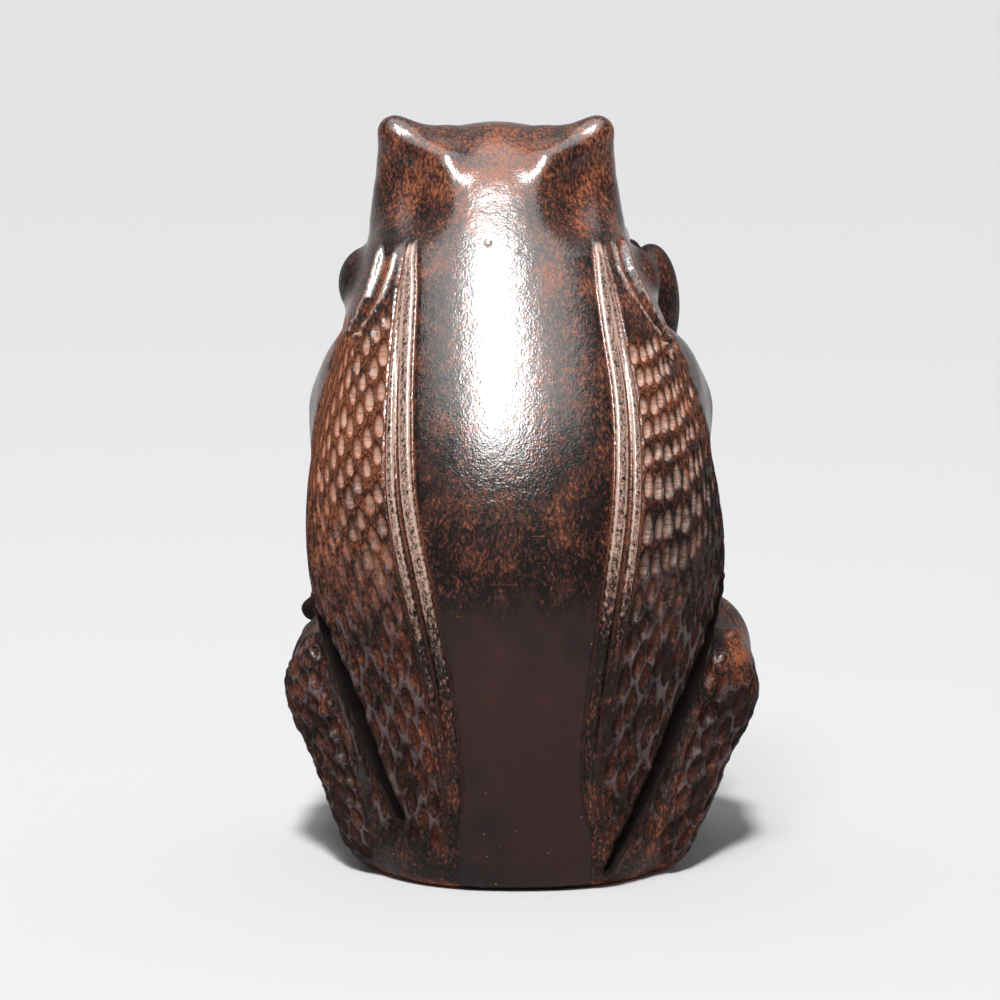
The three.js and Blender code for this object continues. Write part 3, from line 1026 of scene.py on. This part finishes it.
        # Black and orange lines in the grooves, partly painted shade; the groove mask also takes in the
        # crease.
        line = self.ramp(self.plus(self.groove, self.swing(self.patch, 0.9)), 0.25, 0.6)
        seam_and_shade = self.mix(self.ramp(self.grit, 0.42, 0.54), BLACK, self.mix(high, BROWN, ORANGE))
        wood = self.over(wood, seam_and_shade, line, 0.85)
        # Painted shade: the crease is painted near black.
        return self.over(wood, BLACK, self.crease, 0.9)

    def cords(self, wood):
        """The cords have pale edges and a speckled top; high up, their paleness is partly a painted
        highlight.
        """
        rosy = self.mix(self.ramp(self.grit, 0.46, 0.56), ROSE, TAN)
        speckled = self.mix(self.ramp(self.specks, 0.40, 0.52), BLACK, rosy)
        strip = self.mix(self.ramp(self.cord, 0.70, 0.93, 0.12, 1.0), TAN, speckled)
        broken = self.ramp(self.plus(self.pale, self.swing(self.specks, 1.6)), 0.15, 0.75)
        return self.over(wood, strip, self.ramp(self.cord, 0.10, 0.45), broken)

    def roughness(self):
        rough = self.plus(self.ramp(self.patch, 0.3, 0.7, 0.40, 0.50), self.times(self.fleck, 0.15))
        dull = self.math("MAXIMUM", self.crease, self.times(self.matte, 0.4))
        return self.plus(rough, self.times(dull, 0.4), clamp=True)

    def wax(self):
        """The wax is thick high on the back, where hands polish it, and gone from the cuts and flecks."""
        gloss = self.ramp(self.z, 0.060, 0.098, 0.22, 0.85)
        gloss = self.times(gloss, self.rest_of(self.times(self.matte, 0.8)))
        gloss = self.times(gloss, self.rest_of(self.crease))
        return self.math("SUBTRACT", gloss, self.times(self.fleck, 0.3), clamp=True)

    def polish(self):
        """Small dents that break up the light, over slow waves."""
        waves = self.bump(self.noise(600, 2, 0.5), 0.00006)
        return self.bump(self.noise(2700, 1, 0.5), 0.000045, 1.0, waves)

    def relief(self, polish):
        grain = self.bump(self.specks, 0.00006, 1.0, polish)
        return self.bump(self.times(self.strokes, self.cut), 0.00007, 1.0, grain)


def wood_material():
    material, tree, shader = new_material("patinated_wood")
    wood = Wood(tree)
    polish = wood.polish()
    wood.link(wood.cords(wood.cuts(wood.patina())), shader.inputs["Base Color"])
    wood.link(wood.roughness(), shader.inputs["Roughness"])
    wood.link(wood.wax(), shader.inputs["Coat Weight"])
    wood.link(polish, shader.inputs["Coat Normal"])
    wood.link(wood.relief(polish), shader.inputs["Normal"])
    shader.inputs["Coat Roughness"].default_value = 0.185
    shader.inputs["Specular IOR Level"].default_value = 0.06
    return material


def horn_material():
    material, tree, shader = new_material("amber_horn")
    n = Nodes(tree)
    veins = n.noise(260, 4, 0.6, n.mapped((1, 1, 0.3)), 0.6)
    amber = n.mix(n.ramp(veins, 0.3, 0.7), colour(0.16, 0.05, 0.012), colour(0.62, 0.30, 0.07))
    n.link(amber, shader.inputs["Base Color"])
    n.link(n.ramp(veins, 0.2, 0.8, 0.1, 0.2), shader.inputs["Roughness"])
    shader.inputs["Coat Weight"].default_value = 0.6
    return material


def jet_material():
    material, tree, shader = new_material("jet")
    n = Nodes(tree)
    cloud = n.noise(500, 3)
    black = n.mix(cloud, colour(0.003, 0.003, 0.003), colour(0.012, 0.009, 0.008))
    n.link(black, shader.inputs["Base Color"])
    n.link(n.ramp(cloud, 0.2, 0.8, 0.06, 0.14), shader.inputs["Roughness"])
    shader.inputs["Coat Weight"].default_value = 0.5
    return material


def felt_material():
    material, tree, shader = new_material("felt")
    n = Nodes(tree)
    fibre = n.noise(3200, 4, 0.7, n.mapped((1, 0.35, 1), (0, 0, 0.6)), 0.8)
    green = n.mix(fibre, colour(0.012, 0.024, 0.016), colour(0.05, 0.085, 0.06))
    n.link(green, shader.inputs["Base Color"])
    n.link(n.bump(fibre, 0.00025, 0.8), shader.inputs["Normal"])
    shader.inputs["Roughness"].default_value = 0.95
    shader.inputs["Sheen Weight"].default_value = 0.5
    return material


FLOOR_HALF = 8.0  # metres
FLOOR_FADE = (-0.60, -0.26)  # the floor darkens between these Y, on the camera's side


def floor_material():
    material, tree, shader = new_material("studio_floor")
    n = Nodes(tree)
    pale = n.ramp(n.axis("Y"), *FLOOR_FADE)
    n.link(n.mix(pale, colour(0.08, 0.08, 0.08), colour(0.69, 0.69, 0.70)), shader.inputs["Base Color"])
    shader.inputs["Roughness"].default_value = 0.75
    shader.inputs["Specular IOR Level"].default_value = 0.0
    return material


# ---- Pieces ----


def add_object(name, mesh, material):
    mesh.materials.append(material)
    mesh.shade_smooth()
    return show(name, mesh)


CARVED = 0.02  # a mask's least value where the mesh is divided for the carving


def refine(mesh):
    """Divides the faces that carry carving, so that the gouge marks are sharp."""
    p, _ = settle(co_of(mesh), 1)
    _, masks = carve(p)
    busy = (masks["matte"] > CARVED) | (masks["cord"] + masks["groove"] > CARVED)
    made = bmesh.new()
    made.from_mesh(mesh)
    made.verts.ensure_lookup_table()
    chosen = [edge for edge in made.edges if busy[edge.verts[0].index] and busy[edge.verts[1].index]]
    bmesh.ops.subdivide_edges(made, edges=chosen, cuts=1, use_grid_fill=True)
    made.to_mesh(mesh)
    made.free()


def carved_toad():
    points, quads = mesh_block()
    mesh = make_mesh("toad_carving", points, quads[:, ::-1])
    refine(mesh)
    p, normals = settle(co_of(mesh), 3)
    move, masks = carve(p)
    p = p + normals * move[:, None]
    mesh.vertices.foreach_set("co", (p * MM).astype(np.float32).ravel())
    for name, values in masks.items():
        mesh.attributes.new(name, "FLOAT", "POINT").data.foreach_set("value", values.astype(np.float32))
    mesh.update()
    return add_object("toad_carving", mesh, wood_material())


def ball_mesh(name, centre, radius, cells):
    """A ball of six curved grids, so that its faces are all about one size."""
    made = bmesh.new()
    bmesh.ops.create_cube(made, size=2)
    bmesh.ops.subdivide_edges(made, edges=made.edges[:], cuts=cells - 1, use_grid_fill=True)
    for vertex in made.verts:
        vertex.co = Vector(centre) + vertex.co.normalized() * radius
    mesh = bpy.data.meshes.new(name)
    made.to_mesh(mesh)
    made.free()
    return mesh


def gaze(side):
    out, forward, up = GAZE
    return Vector((side * out, forward, up)).normalized()


def pupil_centre(side):
    return Vector(eye_centre(side)) + gaze(side) * (BEAD_RADIUS - PUPIL_SINK)


def eye_bead(side, name, material):
    """A ball with a shallow socket pushed in for the pupil."""
    mesh = ball_mesh(name, eye_centre(side), BEAD_RADIUS, BEAD_CELLS)
    hole, reach = pupil_centre(side), PUPIL_RADIUS + PUPIL_CLEARANCE
    for vertex in mesh.vertices:
        away = vertex.co - hole
        if away.length < reach:
            vertex.co = vertex.co - gaze(side) * min(reach - away.length, 0.9) * 1.4
        vertex.co *= MM
    return add_object(name, mesh, material)


def pupil(side, name, material):
    mesh = ball_mesh(name, pupil_centre(side), PUPIL_RADIUS, PUPIL_CELLS)
    for vertex in mesh.vertices:
        vertex.co *= MM
    return add_object(name, mesh, material)


def felt_pad(material):
    """A disc with softly rounded edges."""
    corner = 0.28 * PAD_EDGE
    lower = [(0, 0), (PAD_RADIUS - PAD_EDGE, 0), (PAD_RADIUS - corner, corner), (PAD_RADIUS, PAD_EDGE)]
    profile = lower + [(r, PAD_THICKNESS - z) for r, z in reversed(lower)]
    made = bmesh.new()
    ring = [made.verts.new((r * MM, 0, z * MM)) for r, z in profile]
    edges = [made.edges.new(pair) for pair in zip(ring, ring[1:])]
    bmesh.ops.spin(made, geom=ring + edges, cent=(0, 0, 0), axis=(0, 0, 1), angle=2 * math.pi, steps=96)
    bmesh.ops.remove_doubles(made, verts=made.verts[:], dist=1e-6)
    bmesh.ops.recalc_face_normals(made, faces=made.faces[:])
    mesh = bpy.data.meshes.new("felt_disc")
    made.to_mesh(mesh)
    made.free()
    return add_object("felt_disc", mesh, material)


def stands_for(piece, node):
    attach(piece, "root")
    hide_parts(node)


stands_for(carved_toad(), "carved_body")
horn, jet = horn_material(), jet_material()
for side, word in ((LEFT, "left"), (RIGHT, "right")):
    stands_for(eye_bead(side, word + "_eye", horn), word + "_eye_bead")
    stands_for(pupil(side, word + "_eye_pupil", jet), word + "_pupil")
stands_for(felt_pad(felt_material()), "felt_pad")

# ---- Studio ----


def make_floor():
    made = bmesh.new()
    bmesh.ops.create_grid(made, x_segments=1, y_segments=1, size=FLOOR_HALF)
    mesh = bpy.data.meshes.new("floor")
    made.to_mesh(mesh)
    made.free()
    mesh.materials.append(floor_material())
    floor = show("floor", mesh)


def add_light(name, data, azimuth, elevation, distance):
    """Puts a light round the object and points it there. Azimuth 0 is on the camera's side."""
    a, e = math.radians(azimuth), math.radians(elevation)
    out = Vector((math.sin(a) * math.cos(e), -math.cos(a) * math.cos(e), math.sin(e)))
    light = show(name, data)
    light.location = VIEW_TARGET + out * distance
    light.rotation_mode = "QUATERNION"
    light.rotation_quaternion = out.to_track_quat("Z", "Y")
    return light


def make_world():
    """A pale room, bright beyond the figurine and dim on the camera's side."""
    world = bpy.data.worlds.new("studio")
    world.use_nodes = True
    tree = world.node_tree
    n = Nodes(tree)
    y = n.add("SeparateXYZ", {0: n.add("TexCoord").outputs["Generated"]}).outputs["Y"]
    room = {"Value": y, "From Min": -0.6, "From Max": 0.6, "To Min": 0.08, "To Max": 0.55}
    bright = n.add("MapRange", room).outputs["Result"]
    n.fill(tree.nodes["Background"], {"Strength": bright, "Color": colour(0.97, 0.98, 1.0)})
    bpy.context.scene.world = world
    bpy.context.scene.view_settings.view_transform = "Standard"


SOFTBOX_AZIMUTH = -4


def add_softbox(name, width, height, watts, elevation, distance):
    """A large light that is seen only in the wood's polish."""
    data = bpy.data.lights.new(name, "AREA")
    data.shape = "RECTANGLE"
    data.size, data.size_y = width, height
    data.energy = watts
    add_light(name, data, SOFTBOX_AZIMUTH, elevation, distance).visible_diffuse = False


def make_lights():
    add_softbox("strip", width=0.15, height=0.66, watts=22, elevation=44.5, distance=0.75)
    add_softbox("broad", width=1.5, height=1.8, watts=39, elevation=67, distance=1.1)

    key = bpy.data.lights.new("key", "SUN")
    key.energy = 2.85
    key.angle = math.radians(8)
    add_light("key", key, azimuth=-5, elevation=63, distance=2).visible_glossy = False

    lamp = bpy.data.lights.new("lamp", "AREA")
    lamp.shape = "DISK"
    lamp.size = 0.2
    lamp.energy = 1.7
    add_light("lamp", lamp, azimuth=-20, elevation=60, distance=0.85).visible_glossy = False


make_floor()
make_world()
make_lights()
